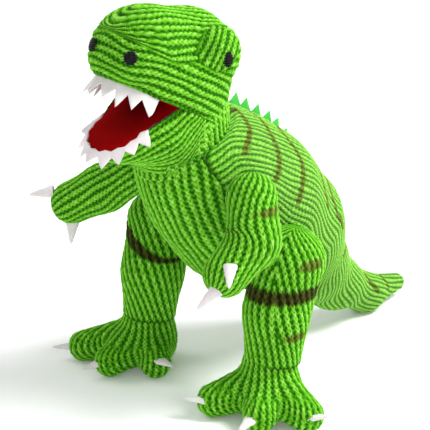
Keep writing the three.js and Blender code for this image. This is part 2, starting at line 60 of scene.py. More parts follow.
# ---------------------------------------------------------------- the toy's own frame
# Shapes are in millimetres: the toy faces -Y, its left is +X and it stands on z = 0.
NECK = np.array([0.0, -30.0, 198.0])
SHIFT = pivot("neck_turn") - NECK
SLOPE = math.radians(24)
NECK_NORMAL = np.array([0.0, -math.sin(SLOPE), math.cos(SLOPE)])
NECK_FRONT = np.array([0, -math.cos(SLOPE), -math.sin(SLOPE)])
HEAD_TURN = math.radians(-8)
X, Y, Z = np.eye(3)


def turn_about(points, centre, axis, angle):
    """Points turned about an axis through a centre."""
    v = np.asarray(points, float) - centre
    c, s = math.cos(angle), math.sin(angle)
    return centre + v * c + np.cross(axis, v) * s + np.outer(v @ axis, axis).reshape(v.shape) * (1 - c)


def head_turned(points):
    """Points of the head and jaw, turned on the neck as in the rest pose."""
    return turn_about(points, NECK, NECK_NORMAL, HEAD_TURN)


# ---------------------------------------------------------------- camera, floor and light
CAMERA = {"azimuth": 43, "elevation": 18, "distance": 850, "lens": 98.8, "target": (5.5, 0, 135)}


# The lights point at the middle of the toy.
LIT_POINT = Vector((0, 0, 0.14))


def aimed(name, data, place, direction):
    """A camera or light at a place in metres, looking in a direction."""
    obj = bpy.data.objects.new(name, data)
    bpy.context.scene.collection.objects.link(obj)
    obj.location = place
    obj.rotation_mode = "QUATERNION"
    obj.rotation_quaternion = Vector(direction).to_track_quat("-Z", "Y")
    return obj


def make_camera():
    a, e = math.radians(CAMERA["azimuth"]), math.radians(CAMERA["elevation"])
    back = np.array([math.sin(a) * math.cos(e), -math.cos(a) * math.cos(e), math.sin(e)])
    place = (np.array(CAMERA["target"]) + SHIFT + back * CAMERA["distance"]) / 1000
    data = bpy.data.cameras.new("camera")
    data.lens, data.sensor_width = CAMERA["lens"], 36
    bpy.context.scene.camera = aimed("camera", data, place, -back)


make_camera()


def area_light(name, place, power):
    data = bpy.data.lights.new(name, "AREA")
    data.shape, data.size, data.energy = "DISK", 0.9, power
    aimed(name, data, place, LIT_POINT - Vector(place))


area_light("key", (0.9, 0.6, 1.5), 44)
area_light("left_fill", (-1.2, -0.6, 1.2), 6)
area_light("front_fill", (0.9, -1.3, 0.5), 3)

world = bpy.data.worlds.new("studio")
bpy.context.scene.world = world
world.use_nodes = True
background = world.node_tree.nodes["Background"]
background.inputs["Color"].default_value = (1, 1, 1, 1)
background.inputs["Strength"].default_value = 0.56
bpy.context.scene.view_settings.view_transform = "Standard"


# ---------------------------------------------------------------- materials
class Nodes:
    """Builds one material's node tree with a Principled shader."""

    def __init__(self, name, roughness, sheen=0.0, sheen_tint=(1, 1, 1), fuzz=0.3):
        self.material = bpy.data.materials.new(name)
        self.material.use_nodes = True
        self.tree = self.material.node_tree
        self.shader = self.tree.nodes["Principled BSDF"]
        sheens = {"Sheen Weight": sheen, "Sheen Roughness": fuzz, "Sheen Tint": sheen_tint}
        for key, value in {"Roughness": roughness, "Specular IOR Level": 0.03, **sheens}.items():
            self.feed(self.shader.inputs[key], value)
        self.coord = self.node("ShaderNodeTexCoord").outputs["Object"]

    def node(self, kind, **values):
        made = self.tree.nodes.new(kind)
        for key, value in values.items():
            setattr(made, key, value)
        return made

    def link(self, a, b):
        self.tree.links.new(a, b)

    def feed(self, socket, value):
        """Link a socket to another one, or set it to a number or a colour."""
        if isinstance(value, (int, float)):
            socket.default_value = value
        elif isinstance(value, tuple):
            socket.default_value = (*value, 1)
        else:
            self.link(value, socket)

    def noise(self, scale, detail=3, stretch=(1, 1, 1)):
        mapping = self.node("ShaderNodeMapping")
        mapping.inputs["Scale"].default_value = stretch
        self.link(self.coord, mapping.inputs["Vector"])
        made = self.node("ShaderNodeTexNoise")
        made.inputs["Scale"].default_value = scale
        made.inputs["Detail"].default_value = detail
        self.link(mapping.outputs[0], made.inputs["Vector"])
        return made.outputs["Fac"]

    def attribute(self, name):
        return self.node("ShaderNodeAttribute", attribute_name=name).outputs["Fac"]

    def ramp(self, value, stops):
        made = self.node("ShaderNodeValToRGB")
        ramp = made.color_ramp
        while len(ramp.elements) < len(stops):
            ramp.elements.new(0.5)
        for element, (place, colour) in zip(ramp.elements, stops):
            element.position, element.color = place, (*colour, 1)
        self.link(value, made.inputs["Fac"])
        return made.outputs["Color"]

    def mix(self, factor, a, b, mode="MIX"):
        made = self.node("ShaderNodeMix", data_type="RGBA", blend_type=mode)
        colours = [socket for socket in made.inputs if socket.type == "RGBA"]
        for socket, value in zip((made.inputs["Factor"], *colours), (factor, a, b)):
            self.feed(socket, value)
        return next(socket for socket in made.outputs if socket.type == "RGBA")

    def math(self, operation, a, b):
        made = self.node("ShaderNodeMath", operation=operation, use_clamp=True)
        for socket, value in zip(made.inputs, (a, b)):
            self.feed(socket, value)
        return made.outputs[0]

    def bump(self, height, strength, distance):
        made = self.node("ShaderNodeBump")
        made.inputs["Strength"].default_value = strength
        made.inputs["Distance"].default_value = distance
        self.link(height, made.inputs["Height"])
        self.link(made.outputs[0], self.shader.inputs["Normal"])

    def colour(self, socket):
        self.link(socket, self.shader.inputs["Base Color"])


def knit_material():
    """Green yarn: painted highlight on the ridges, painted shade in the channels, fibres, brown and black rows
    that take the same painted shade and highlight, and a paling that imitates light.
    """
    n = Nodes("green_knit", 0.9, sheen=0.08, sheen_tint=(0.75, 1, 0.5), fuzz=0.4)
    relief_shade = n.attribute("relief_shade")
    # Colours by rib height: painted shade deep in the channels, painted highlight on the ridge tops.
    deep, low = (0.001, 0.025, 0.0001), (0.008, 0.12, 0.0003)
    middle, high, top = (0.06, 0.32, 0.002), (0.16, 0.49, 0.025), (0.32, 0.63, 0.12)
    yarn = n.ramp(relief_shade, [(0.12, deep), (0.4, low), (0.64, middle), (0.84, high), (1.0, top)])
    patchy = n.ramp(n.noise(38, 2), [(0.3, (0.86, 0.9, 0.82)), (0.7, (1.06, 1.05, 1.1))])
    yarn = n.mix(1.0, yarn, patchy, "MULTIPLY")
    fibre = n.noise(2600, 2, (1, 1, 0.4))
    yarn = n.mix(n.math("MULTIPLY", fibre, 0.12), yarn, (0.27, 0.64, 0.06))
    # The brown and black rows are darkened in the channels and lightened on the ridges: painted shade and
    # painted highlight.
    deep, middle, top = (0.02, 0.025, 0.002), (0.06, 0.08, 0.006), (0.17, 0.2, 0.04)
    brown = n.ramp(relief_shade, [(0.0, deep), (0.6, middle), (1.0, top)])
    deep, middle, top = (0.004, 0.004, 0.001), (0.02, 0.018, 0.003), (0.06, 0.05, 0.012)
    black = n.ramp(relief_shade, [(0.0, deep), (0.6, middle), (1.0, top)])
    yarn = n.mix(n.attribute("pale"), yarn, (0.6, 0.6, 0.33))
    yarn = n.mix(n.attribute("brown"), yarn, brown)
    yarn = n.mix(n.attribute("black"), yarn, black)
    n.colour(yarn)
    n.bump(fibre, 0.5, 0.0005)
    return n.material


def felt_material(name, colour, dark, sheen=0.25, deep=None):
    """Matted fibres, with painted shade where the attribute named deep is high."""
    n = Nodes(name, 0.95, sheen=sheen, fuzz=0.5)
    fibres = n.noise(1500, 5)
    mottled = n.noise(90, 3)
    shade = n.ramp(mottled, [(0.3, dark), (0.65, colour)])
    shade = n.mix(n.math("MULTIPLY", fibres, 0.25), shade, tuple(min(1, c * 1.35 + 0.005) for c in colour))
    if deep:
        # Painted shade: the colour goes towards a tenth of the dark colour where deep is high.
        shade = n.mix(n.math("MULTIPLY", n.attribute(deep), 0.72), shade, tuple(c * 0.1 for c in dark))
    n.colour(shade)
    n.bump(fibres, 0.55, 0.0005)
    return n.material


def yarn_material(name, colour, light):
    """Smooth sewing yarn."""
    n = Nodes(name, 0.8, sheen=0.2, fuzz=0.4)
    strands = n.noise(1100, 3, (1, 1, 0.25))
    n.colour(n.ramp(strands, [(0.3, colour), (0.8, light)]))
    n.bump(strands, 0.6, 0.0004)
    return n.material


def fibre_material():
    """Loose white stuffing."""
    n = Nodes("fibrefill", 1.0, sheen=0.5, fuzz=0.6)
    wisps = n.noise(420, 6)
    n.colour(n.ramp(wisps, [(0.3, (0.62, 0.6, 0.56)), (0.7, (0.9, 0.89, 0.86))]))
    n.bump(wisps, 0.7, 0.002)
    return n.material


def floor_material():
    """A pale floor that glows, weakly near the toy and more strongly away from it, so that it fades to white:
    painted light.
    """
    n = Nodes("floor", 0.7)
    # The floor is no lamp: its glow is painted light.
    n.feed(n.shader.inputs["Emission Color"], (1, 1, 1))
    distance = n.node("ShaderNodeVectorMath", operation="LENGTH")
    n.link(n.coord, distance.inputs[0])
    far = n.node("ShaderNodeMapRange", interpolation_type="SMOOTHSTEP")
    limits = {"From Min": 0.15, "From Max": 0.7, "To Min": 0.1, "To Max": 0.45}
    for socket, value in limits.items():
        far.inputs[socket].default_value = value
    n.link(distance.outputs["Value"], far.inputs["Value"])
    n.link(far.outputs[0], n.shader.inputs["Emission Strength"])
    n.colour(n.ramp(n.noise(3, 2), [(0.3, (0.93, 0.93, 0.93)), (0.7, (0.95, 0.95, 0.95))]))
    return n.material


RED, DARK_RED = (0.30, 0.0004, 0.0008), (0.23, 0.0002, 0.0004)
LOOKS = {
    "green_knit": knit_material(),
    "green_felt": felt_material("green_felt", (0.055, 0.46, 0.055), (0.035, 0.36, 0.035)),
    "white_felt": felt_material("white_felt", (0.72, 0.68, 0.68), (0.62, 0.58, 0.58)),
    "red_felt": felt_material("red_felt", RED, DARK_RED, sheen=0.0, deep="deep"),
    "black_yarn": yarn_material("black_yarn", (0.004, 0.004, 0.004), (0.02, 0.02, 0.02)),
    "seam_yarn": yarn_material("seam_yarn", (0.02, 0.16, 0.003), (0.08, 0.36, 0.01)),
    "fibrefill": fibre_material(),
}


# ---------------------------------------------------------------- soft shapes
LONGEST_RAY = 160.0


# A shape is a function that gives each point's distance from a surface, negative inside.
def ball(centre, radii):
    """An ellipsoid with its axes along X, Y and Z."""
    c, r = np.array(centre, float), np.ones(3) * np.array(radii, float)

    def distance(p):
        q = (p - c) / r
        near = np.linalg.norm(q, axis=-1)
        return near * (near - 1) / np.maximum(np.linalg.norm(q / r, axis=-1), 1e-9)

    return distance


def rod(a, ra, b, rb):
    """A round rod from a to b whose radius goes from ra to rb."""
    a, b = np.array(a, float), np.array(b, float)

    def distance(p):
        t = np.clip(((p - a) @ (b - a)) / ((b - a) @ (b - a)), 0, 1)
        return np.linalg.norm(p - a - t[..., None] * (b - a), axis=-1) - (ra + t * (rb - ra))

    return distance


def chain(knots):
    """Rods from each (centre, radius) to the next."""
    return [rod(a, ra, b, rb) for (a, ra), (b, rb) in zip(knots, knots[1:])]


def blended(shapes, soft):
    """The shapes joined with rounded creases."""

    def distance(p):
        d = np.stack([shape(p) for shape in shapes])
        low = d.min(0)
        return low - soft * np.log(np.exp(-(d - low) / soft).sum(0))

    return distance


def clipped(shape, *planes):
    """A shape cut off beyond planes given as (point, outward normal)."""

    def distance(p):
        return np.maximum.reduce([shape(p)] + [(p - at) @ normal for at, normal in planes])

    return distance


def reach(shape, origins, rays):
    """How far along each ray the surface is."""
    low, high = np.zeros(rays.shape[:-1]), np.full(rays.shape[:-1], LONGEST_RAY)
    for _ in range(22):
        middle = (low + high) / 2
        inside = shape(origins + rays * middle[..., None]) < 0
        low, high = np.where(inside, middle, low), np.where(inside, high, middle)
    return low


def surface_points(shape, starts, rays, above=0):
    """Where rays meet the surface, or how far above it."""
    return starts + rays * (reach(shape, starts, rays) + above)[..., None]


def unit(v):
    v = np.asarray(v, float)
    return v / np.linalg.norm(v, axis=-1, keepdims=True)


def fan(shape, origins, a, b, c, lean, low, high, count):
    """Rows of surface points.

    In row i, rays turn from a to b by low[i] to high[i] degrees and lean towards c by lean[i] degrees.
    """
    n = len(origins)
    low, high = np.broadcast_to(low, n), np.broadcast_to(high, n)
    angle = np.radians(np.linspace(low, high, count, axis=1))[..., None]
    a, b, c = (np.broadcast_to(np.asarray(v, float), (n, 3))[:, None] for v in (a, b, c))
    lean = np.radians(np.broadcast_to(np.asarray(lean, float), n))[:, None, None]
    rays = np.cos(lean) * (np.cos(angle) * a + np.sin(angle) * b) + np.sin(lean) * c
    return surface_points(shape, np.asarray(origins, float)[:, None], rays)


def spline(values, places):
    """Catmull-Rom interpolation of rows of values at fractional row numbers."""
    values = np.asarray(values, float)
    n = len(values)
    padded = np.concatenate([[2 * values[0] - values[1]], values, [2 * values[-1] - values[-2]]])
    i = np.clip(np.floor(places).astype(int), 0, n - 2)
    f = (places - i).reshape(-1, *([1] * (values.ndim - 1)))
    p0, p1, p2, p3 = (padded[i + k] for k in range(4))
    square, cube = 2 * p0 - 5 * p1 + 4 * p2 - p3, 3 * p1 - p0 - 3 * p2 + p3
    return 0.5 * (2 * p1 + (p2 - p0) * f + square * f**2 + cube * f**3)


def smoothstep(low, high, x):
    t = np.clip((x - low) / (high - low), 0, 1)
    return t * t * (3 - 2 * t)


# ---------------------------------------------------------------- knitting
# How coarse the knit's grid is.
FINE = 1.0
# Panels that aren't tubes repeat their stitches and their waviness after these numbers of ribs.
PANEL_REPEAT, PANEL_WAVE = 1000, 12


def knit_height(across, along, pitch, stitch, ribs):
    """Height, 0 to 1, of one-by-one rib: ropes of V stitches with purl bumps and holes between them.

    The pattern repeats after the number of ribs.
    """
    column = np.mod(np.floor(across / pitch + 0.5), ribs)
    s = np.abs((across / pitch + 0.5) % 1 - 0.5)
    t = along / stitch + 0.31 * np.sin(column * 2.4) + 0.12 * np.sin(along / 9 + column)
    half = 0.36 + 0.05 * np.cos(2 * np.pi * (t + 0.2))
    side = np.minimum(s / half, 1)
    gap = np.abs((t + 0.85 * side) % 1 - 0.5) * 2
    uneven = 1 + 0.07 * np.sin(12.9898 * column + 78.233 * np.floor(t))
    strand = (1 - 0.5 * gap**5) * uneven
    ridge = np.sqrt(1 - side**2.2)
    crease = np.exp(-((s / 0.05) ** 2)) * (0.12 + 0.2 * gap**2)
    hole = np.abs(2 * ((t + 0.35) % 1) - 1)
    bump = np.clip((s - 0.28) / 0.12, 0, 1) * np.clip(1.2 * (1 - hole), 0, 1)
    return ridge * strand - crease * ridge + 0.58 * bump


def even_places(points, step):
    """Fractional row numbers that space rows evenly along their mean length."""
    gaps = np.linalg.norm(np.diff(points, axis=0), axis=-1).mean(1)
    length = np.concatenate([[0], np.cumsum(gaps)])
    count = max(int(length[-1] / (step * FINE)), 8)
    return np.interp(np.linspace(0, length[-1], count), length, np.arange(len(points)))


def widened(points, places):
    """Rows at the places, with five times the points in each."""
    rows = spline(points, places)
    columns = np.linspace(0, rows.shape[1] - 1, rows.shape[1] * 5)
    return spline(rows.transpose(1, 0, 2), columns).transpose(1, 0, 2)


def run(points, axis=0):
    """Distance along lines of points from their first ones."""
    steps = np.linalg.norm(np.diff(points, axis=axis), axis=-1)
    return np.concatenate([np.zeros_like(steps.take([0], axis)), np.cumsum(steps, axis=axis)], axis=axis)


def resampled(rows, arc, place):
    """Each row's values at distances along it."""
    made = np.empty((*place.shape, 3))
    for i in range(len(rows)):
        for k in range(3):
            made[i, :, k] = np.interp(place[i], arc[i], rows[i, :, k])
    return made


def outward_normals(wide, arc, grid, place):
    """Unit normals at the grid's points, and whether the grid's cells have to be flipped to face out."""
    across = resampled(np.gradient(wide, axis=1), arc, place)
    normal = np.cross(np.gradient(grid, axis=0), across)
    size = np.linalg.norm(normal, axis=-1, keepdims=True)
    normal = normal / np.maximum(size, 1e-12)
    for end, inner in ((0, 1), (-1, -2)):
        if size[end].max() < 1e-3 * size[inner].max():
            normal[end] = unit(normal[inner].mean(0))
    flip = np.sum(normal * (grid - grid.mean((0, 1))), axis=-1).mean() < 0
    return (-normal if flip else normal), flip


def rib_places(total, middle, pitch, anchor, count):
    """Where each row's points are along it, and how far across the ribs, in mm."""
    if anchor == "around":
        per_rib = max(int(round(9 / FINE)), 4)
        columns = np.linspace(0, 1, count * per_rib + 1)
        place = total[:, None] * columns
        return place, np.broadcast_to(columns * count * pitch, place.shape)
    step = pitch / 8 * FINE
    start = {"low": np.zeros_like(total), "high": total, "middle": middle, "edges": middle}[anchor]
    first, last = math.floor(-start.max() / step), math.ceil((total - start).max() / step)
    place = np.clip(start[:, None] + np.arange(first, last + 1) * step, 0, total[:, None])
    if anchor != "edges":
        return place, place - start[:, None]
    ends = np.stack([place, total[:, None] - place])
    nearest, soft = ends.min(0), 4
    return place, nearest - soft * np.log(np.exp(-(ends - nearest) / soft).sum(0))


def knit(
    name,
    points,
    pitch,
    stitch,
    anchor="low",
    count=None,
    depth=0.33,
    edges=(0, 0, 0, 0),
    paint=None,
    guide=None,
    slant=None,
):
    """A knitted panel over rows of surface points.

    The ribs run along the rows' direction. They keep their distance from the first column (low), the
    last one (high), the middle one (middle) or the nearer of first and last (edges), or there are count
    of them round a closed tube (around). Pitch is the distance between ribs and stitch the length of one
    stitch. depth is the ribs' height over the pitch. edges are how far each edge (first row, last row,
    first column, last column) curls in, in mm. Distances are measured on the guide, a smoother surface
    with the same rows and columns, if there is one. A slant changes the distance across into another
    that depends on the distance along.
    """
    around = anchor == "around"
    places = even_places(points, 0.8)
    wide = widened(points, places)
    arc = run(wide if guide is None else widened(guide, places), axis=1)
    total = arc[:, -1]
    place, across = rib_places(total, arc[:, arc.shape[1] // 2], pitch, anchor, count)
    grid = resampled(wide, arc, place)
    along = run(grid)
    if around:
        along = np.broadcast_to(along.mean(1, keepdims=True), along.shape)
    normal, flip = outward_normals(wide, arc, grid, place)

    ribs = count or PANEL_REPEAT
    turn = 2 * np.pi * across / (pitch * (count or PANEL_WAVE))
    if slant is not None:
        across = slant(across, along)
    across = across + 0.07 * pitch * (np.sin(along / 5.3 + 5 * turn) + np.sin(along / 12 - 3 * turn + 1))
    height = knit_height(across, along, pitch, stitch, ribs)
    scale = np.full(grid.shape[:2], pitch)
    if around:
        # More ribs where the tube widens, and plain yarn where it is gathered to a point.
        local = total / count
        double = smoothstep(1.25, 1.55, local / pitch)[:, None]
        height = height * (1 - double) + knit_height(across * 2, along, pitch, stitch, 2 * ribs) * double
        scale = np.minimum(local, pitch * 1.15)[:, None] * np.ones(grid.shape[1])
        gathered = smoothstep(0.5, 0.2, local / pitch)[:, None]
        height = height * (1 - gathered) + 0.62 * gathered
    lift = (height - 0.7) * depth * scale
    # Painted shade along the curled edges: folded darkens the colour there, as if the seams' creases shaded it.
    folded = np.zeros(height.shape)
    from_edge = (along, along[-1][None] - along, place, total[:, None] - place)
    for distance, curl in zip(from_edge, edges):
        if curl:
            near = np.clip(1 - distance / (2.2 * curl), 0, 1)
            lift = lift - curl * near**2
            folded = np.maximum(folded, near)
    surface = grid + normal * lift[..., None]

    # Colour height for the yarn's painted shade and highlight, with painted shade along the curled edges.
    shade = {"relief_shade": np.clip(height, 0, 1) * (1 - 0.65 * folded)}
    for key in ("brown", "black", "pale"):
        shade[key] = np.zeros(height.shape)
    if paint is not None:
        fray = 1.3 * np.sin(across * 1.9) + 1.1 * np.sin(across * 0.83 + 2)
        paint(shade, grid, fray + 0.8 * np.sin(across * 5.1 + along))
    keep = None
    if not around:
        gap = place[:, 1:] - place[:, :-1]
        keep = (gap[1:] > 1e-6) | (gap[:-1] > 1e-6)
    return grid_mesh(name, surface, shade, "green_knit", closed=around, flip=flip, keep=keep)


def cells(corners):
    """The four corners of each cell of a grid."""
    return np.stack([corners[:-1, :-1], corners[1:, :-1], corners[1:, 1:], corners[:-1, 1:]], axis=2)


def grid_mesh(name, surface, shade, look, closed=False, flip=False, keep=None):
    """A mesh over a grid of points in millimetres, of all cells or of the ones in keep."""
    n, m = surface.shape[:2]
    index = np.arange(n * m).reshape(n, m)
    if closed:
        index[:, -1] = index[:, 0]
    if keep is None:
        keep = np.ones((n - 1, m - 1), bool)
    quads = cells(index)[keep]
    share = np.meshgrid(np.arange(n) / (n - 1), np.arange(m) / (m - 1), indexing="ij")
    corner = cells(np.stack(share, axis=-1))[keep]
    if flip:
        quads, corner = quads[:, ::-1], corner[:, ::-1]
    used = np.unique(quads)
    renumber = np.full(n * m, -1)
    renumber[used] = np.arange(len(used))
    mesh = bpy.data.meshes.new(name)
    points = (surface.reshape(-1, 3)[used] + SHIFT) / 1000
    mesh.from_pydata(points.tolist(), [], renumber[quads].tolist())
    layer = mesh.uv_layers.new(name="OFBake")
    layer.data.foreach_set("uv", (0.004 + 0.992 * corner).astype(np.float32).ravel())
    for key, values in shade.items():
        attribute = mesh.attributes.new(key, "FLOAT", "POINT")
        attribute.data.foreach_set("value", values.reshape(-1)[used].astype(np.float32))
    mesh.polygons.foreach_set("use_smooth", np.ones(len(mesh.polygons), bool))
    mesh.update()
    obj = bpy.data.objects.new(name, mesh)
    bpy.context.scene.collection.objects.link(obj)
    mesh.materials.append(LOOKS[look])
    return obj


def tube(name, path, radius, look, twist, bump, closed=False):
    """A strand along a path in millimetres; bump and twist make it look plied."""
    path = np.asarray(path, float)
    along = np.gradient(path, axis=0) if not closed else np.roll(path, -1, 0) - np.roll(path, 1, 0)
    t = unit(along)
    side = unit(np.cross(t, np.array([0.31, 0.17, 0.93])))
    up = np.cross(t, side)
    length = run(path)
    a = np.linspace(0, 2 * np.pi, 9)
    r = radius * (1 + bump * np.cos(2 * a[None] - twist * length[:, None]))
    if not closed:
        r = r * np.clip(np.minimum(length, length[-1] - length)[:, None] / (2 * radius), 0.05, 1) ** 0.5
    ring = path[:, None] + side[:, None] * (np.cos(a) * r)[..., None]
    ring = ring + up[:, None] * (np.sin(a) * r)[..., None]
    if closed:
        ring = np.concatenate([ring, ring[:1]])
    return grid_mesh(name, ring, {}, look, closed=True, flip=True)


def felt_strip(base, up, out, height, curl, root, half_thick, count):
    """Rows of points round a thin strip that stands on a base line.

    It starts a share, root, of its height away from the line, and its tip bends outwards by curl.
    """
    share = np.concatenate([np.linspace(root, 1, count), np.linspace(1, root, count)])
    above = np.clip(share, 0, 1)
    thick = np.repeat([half_thick, -half_thick], count) * np.sqrt(np.clip(1.02 - above**6, 0.05, 1))
    ring = base[:, None] + up[:, None] * (share * height[:, None])[..., None]
    ring = ring + out[:, None] * (thick + curl[:, None] * above**2)[..., None]
    return np.concatenate([ring, ring[:, :1]], axis=1)


def strip_mesh(name, ring, look):
    """A felt strip closed at both ends."""
    ring[0], ring[-1] = ring[0].mean(0), ring[-1].mean(0)
    return grid_mesh(name, ring, {}, look, closed=True, flip=True)


def joined(name, pieces):
    """Several meshes made one."""
    bpy.ops.object.select_all(action="DESELECT")
    for piece in pieces:
        piece.select_set(True)
    bpy.context.view_layer.objects.active = pieces[0]
    bpy.ops.object.join()
    made = pieces[0]
    made.name = name
    made.data.name = name
    return made


# ---------------------------------------------------------------- body and tail
TRUNK = [
    ((0, -32, 200), 33),
    ((0, -16, 180), 40),
    ((0, 4, 161), 52),
    ((0, 35, 135), 59),
    ((0, 77, 106), 50),
    ((0, 110, 71), 33),
    ((0, 150, 40), 21),
    ((0, 196, 17), 14.5),
    ((0, 243, 13), 8),
]
trunk = clipped(
    blended(chain(TRUNK), 5),
    (NECK + 0.5 * NECK_NORMAL, NECK_NORMAL),
    (np.array([0, 0, 1.0]), -Z),
)

# Section planes of the side panels: Y and Z of the centre and of the direction out of the back.
SECTIONS = [
    (-34, 150, -0.3, 0.95),
    (-20, 148, -0.28, 0.96),
    (-8, 146, -0.22, 0.97),
    (4, 144, -0.05, 1),
    (18, 141, 0.2, 0.98),
    (34, 134, 0.4, 0.92),
    (56, 121, 0.58, 0.81),
    (80, 102, 0.68, 0.73),
    (104, 76, 0.7, 0.71),
    (128, 55, 0.62, 0.78),
    (152, 38, 0.48, 0.88),
    (176, 26, 0.32, 0.95),
    (200, 17, 0.14, 0.99),
    (222, 14.5, 0.05, 1),
    (241, 13, 0.0, 1),
]
# Half the belly panel's width at each height.
BELLY_EDGE = [(0, 62), (24, 72), (42, 90), (49, 120), (47, 150), (40, 176), (30, 200), (24, 216)]


def from_belly_seam(points, rows=26):
    """The same surface with its first row moved along to the belly seam."""
    width, height = zip(*BELLY_EDGE)
    outside = np.abs(points[..., 0]) - np.interp(points[..., 2], height, width)
    outside = np.where(points[..., 2] > 206, points[..., 1] + 60, outside)
    first = np.zeros(points.shape[1])
    for j in range(points.shape[1]):
        sign = outside[:, j] > 0
        k = int(np.argmax(sign))
        if k:
            a, b = outside[k - 1, j], outside[k, j]
            first[j] = k - 1 + a / (a - b)
    first = np.convolve(np.pad(first, 4, mode="edge"), np.ones(9) / 9, "valid")
    made = np.empty_like(points)
    t = np.arange(len(points))
    for j in range(points.shape[1]):
        places = t + np.maximum(0, first[j] * (1 - t / rows))
        made[:, j] = spline(points[:, j], places)
    return made


def section_rows(sections, count):
    """Origins and outward directions, all in the middle plane, at count even steps through sections."""
    places = np.linspace(0, len(sections) - 1, count)
    middle = np.pad(np.array(sections, float).reshape(-1, 2, 2), ((0, 0), (0, 0), (1, 0)))
    return spline(middle[:, 0], places), unit(spline(middle[:, 1], places))


# Narrow brown rows that cross the back, as points on or near the left side.
STRIPES = [
    [(8, 4, 222), (24, 6, 212), (36, 2, 203), (42, -6, 197), (44, -12, 191)],
    [(8, 30, 216), (21, 28, 205), (36, 24, 197), (46, 21, 187), (52, 16, 178), (54, 9, 170)],
    [(8, 58, 190), (28, 46, 192), (45, 46, 178), (52, 42, 169), (58, 34, 159), (60, 27, 150)],
    [(8, 90, 162), (28, 80, 166), (43, 74, 159), (50, 70, 148), (53, 71, 135)],
    [(10, 104, 142), (28, 97, 146), (42, 87, 142), (50, 88, 124), (46, 96, 112)],
    [(5, 134, 98), (18, 132, 95), (27, 129, 88), (37, 115, 82)],
    [(4, 176, 46), (14, 180, 42), (16, 185, 32), (17, 192, 24)],
    [(3, 212, 32), (10, 212, 28), (12, 214, 20)],
]


def onto(shape, knots, line):
    """A polyline made dense and moved out or in to the surface of a shape round the knots' spine."""
    line = spline(line, np.linspace(0, len(line) - 1, 8 * len(line)))
    spine = spline([k[0] for k in knots], np.linspace(0, len(knots) - 1, 200))
    near = np.argmin(np.linalg.norm(line[:, None] - spine[None], axis=-1), axis=1)
    rays = unit(line - spine[near])
    return surface_points(shape, spine[near], rays)


def near_line(points, line):
    """Distance from each point to a polyline."""
    line = np.array(line, float)
    best = np.full(points.shape[:-1], 1e9)
    for a, b in zip(line, line[1:]):
        t = np.clip((points - a) @ (b - a) / ((b - a) @ (b - a)), 0, 1)
        best = np.minimum(best, np.linalg.norm(points - a - t[..., None] * (b - a), axis=-1))
    return best


def paint_side(shade, grid, fray):
    """The brown stripes, and a paling towards the back that imitates strong light and isn't the toy's colour."""
    shade["pale"] = (0.03 + 0.09 * shade["relief_shade"]) * smoothstep(-55, 10, grid[..., 1])
    place = np.abs(grid) * X + grid * (Y + Z)
    for line in STRIPES:
        near = near_line(place, onto(trunk, TRUNK, line)) + 0.3 * fray
        shade["brown"] = np.maximum(shade["brown"], 0.95 * (1 - smoothstep(1.6, 3.2, near)))


def side_panel(name, sign):
    """Half of the body and tail, from the back seam to the belly seam, closed round the tail's tip."""
    origins, back = section_rows(SECTIONS, 84)
    tip = np.linspace(12, 84, 7)
    lean = np.concatenate([np.zeros(len(origins)), tip])
    origins = np.concatenate([origins, np.repeat(origins[-1:], len(tip), 0)])
    back = np.concatenate([back, np.repeat(back[-1:], len(tip), 0)])
    points = from_belly_seam(fan(trunk, origins, back, sign * X, Y, lean, 0, 180, count=100))
    return knit(name, points, 4.5, 3.3, paint=paint_side, edges=(1.6, 0, 0.7, 0.7))


for side, sign in (("left", 1), ("right", -1)):
    panel = side_panel(f"side_{side}", sign)
    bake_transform(panel)
    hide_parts(f"side_panel_{side}")
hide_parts("tail_knit")


def belly():
    """The front panel, with upright ribs parallel to its centre line."""
    rows = [
        (-29, 196, -0.914, -0.407),
        (-20, 184, -0.93, -0.36),
        (-6, 166, -0.96, -0.27),
        (6, 148, -0.97, -0.22),
        (14, 130, -0.95, -0.3),
        (20, 114, -0.88, -0.47),
        (28, 104, -0.66, -0.75),
        (36, 100, -0.2, -0.98),
        (46, 100, 0, -1),
    ]
    origins, front = section_rows(rows, 60)
    half = np.interp(np.linspace(0, 8, 60), range(9), (66, 66, 66, 66, 66, 62, 54, 40, 20))
    points = fan(trunk, origins, front, X, X, 0, -half, half, count=91)
    points = points - unit(points - origins[:, None])
    return knit("belly", points, 6.8, 4.4, anchor="middle", depth=0.28)


panel = belly()
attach(panel, "torso")
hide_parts("belly_panel")


# ---------------------------------------------------------------- head
HEAD = blended(
    [
        ball((0, -36, 249), (36, 38, 36)),
        ball((0, -24, 264), (27, 24, 22)),
        ball((0, -62, 268), (32, 32, 24)),
        ball((0, -73, 257), (27, 26, 19)),
        ball((17, -52, 236), (19, 27, 19)),
        ball((-17, -52, 236), (19, 27, 19)),
        rod((0, -34, 238), 34, (0, -31, 196), 34),
    ],
    4,
)
FOLD = np.array([0, -56.0, 229])
PALATE_UP, FLOOR_DOWN = math.radians(26), math.radians(34)
palate_normal = np.array([0, -math.sin(PALATE_UP), -math.cos(PALATE_UP)])
floor_normal = np.array([0, -math.sin(FLOOR_DOWN), math.cos(FLOOR_DOWN)])

# The head with its brows, and a dent in front of each brow where the panels meet.
BROW = (14, 16, 17)
rounded_head = blended([HEAD, ball((28, -22, 262), BROW), ball((-28, -22, 262), BROW)], 4)


def head_top(p):
    """The upper head's surface."""
    dents = 0
    for sign in (1, -1):
        dents = dents + 3.2 * np.exp(-np.sum((p - (sign * 33, -41, 264)) ** 2, axis=-1) / 50)
    return rounded_head(p) + dents


# Each of these is positive where its name says.
def below_palate(p):
    return (p - FOLD) @ palate_normal


def below_neck(p):
    return -(p - NECK) @ NECK_NORMAL + 1.0


def above_floor(p):
    return (p - FOLD) @ floor_normal


def below_cheek(p):
    return np.maximum(below_palate(p), below_neck(p))


def above_muzzle_seam(p):
    """On the crown's side of the seam that runs from the nose back under the brows."""
    height = np.interp(p[..., 1], (-100, -62, -42, -35, -12, 0), (285, 260, 260, 253, 252, 258))
    return p[..., 2] - height


